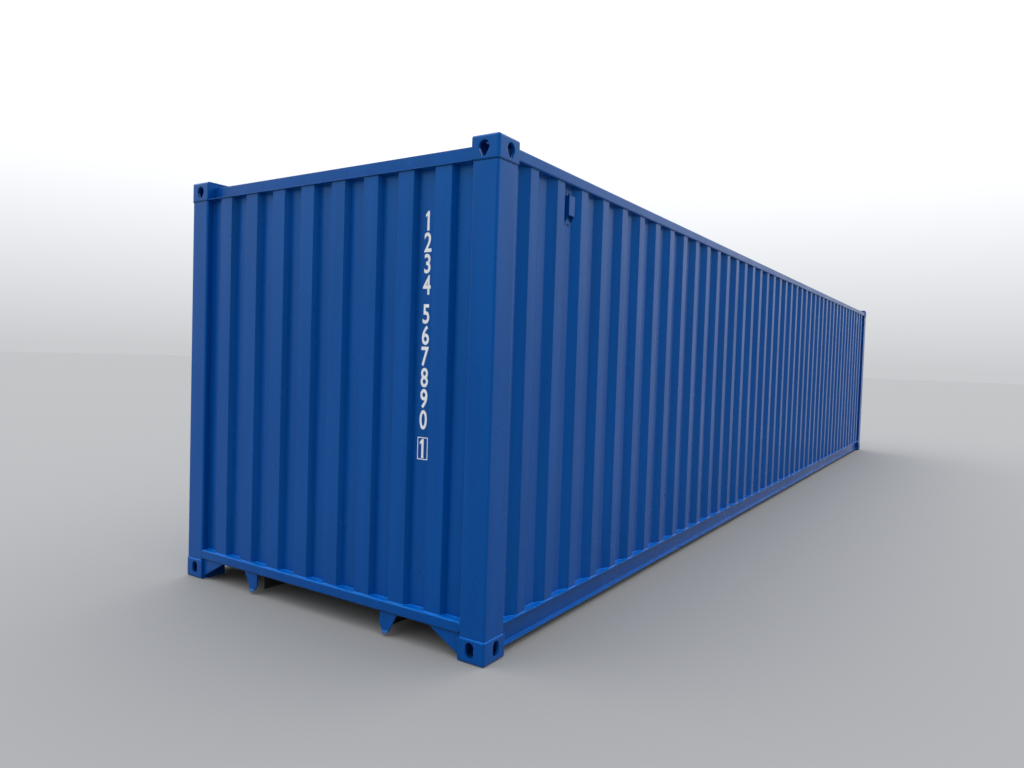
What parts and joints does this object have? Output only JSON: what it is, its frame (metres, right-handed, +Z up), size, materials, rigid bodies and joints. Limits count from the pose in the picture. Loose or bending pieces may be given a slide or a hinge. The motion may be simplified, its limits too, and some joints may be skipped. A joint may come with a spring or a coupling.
{
  "type": "shipping container",
  "caption": "Blue steel freight container: corrugated walls, corner fittings with twistlock slots, gooseneck tunnel under the front and double doors with lock rods.",
  "frame": {"origin": "middle of the base, on the undersides of the bottom corner fittings", "axes": "+X along the length towards the doors, +Z up, -Y is the side in the picture"},
  "size_m": [12.192, 2.438, 2.591],
  "materials": {
    "blue_paint": "glossy",
    "fitting_paint": "semi-gloss over cast steel",
    "underframe_paint": "matte bitumen coat",
    "zinc": "galvanized",
    "gasket": "matte",
    "plywood": "varnished"
  },
  "bodies": {
    "root": {"fitting_front_left_bottom": "fitting_paint", "fitting_front_right_bottom": "fitting_paint", "fitting_front_left_top": "fitting_paint", "fitting_front_right_top": "fitting_paint", "fitting_door_left_bottom": "fitting_paint", "fitting_door_right_bottom": "fitting_paint", "fitting_door_left_top": "fitting_paint", "fitting_door_right_top": "fitting_paint", "front_post_left": "blue_paint", "front_post_right": "blue_paint", "door_post_left": "blue_paint", "door_post_right": "blue_paint", "front_header": "blue_paint", "front_sill": "blue_paint", "sill_gussets": "blue_paint", "tunnel_lead_plates": "blue_paint", "front_wall": "blue_paint", "side_wall_left": "blue_paint", "side_wall_right": "blue_paint", "bottom_rail_left": "blue_paint", "bottom_rail_right": "blue_paint", "top_rail_left": "blue_paint", "top_rail_right": "blue_paint", "roof": "blue_paint", "roof_end_plates": "blue_paint", "ventilators": "blue_paint", "cross_members": "underframe_paint", "outriggers": "underframe_paint", "tunnel_roof": "underframe_paint", "tunnel_side_beams": "underframe_paint", "floor_boards": "plywood", "door_header": "blue_paint", "door_sill": "blue_paint", "door_frame_left": "blue_paint", "door_frame_right": "blue_paint", "door_panel_left": "blue_paint", "door_panel_right": "blue_paint", "door_gaskets": "gasket", "hinges_left": "blue_paint", "hinges_right": "blue_paint", "lock_rods": "zinc", "lock_handles": "zinc", "handle_catches": "zinc", "rod_brackets": "zinc", "cam_keepers": "zinc"}
  },
  "joints": []
}
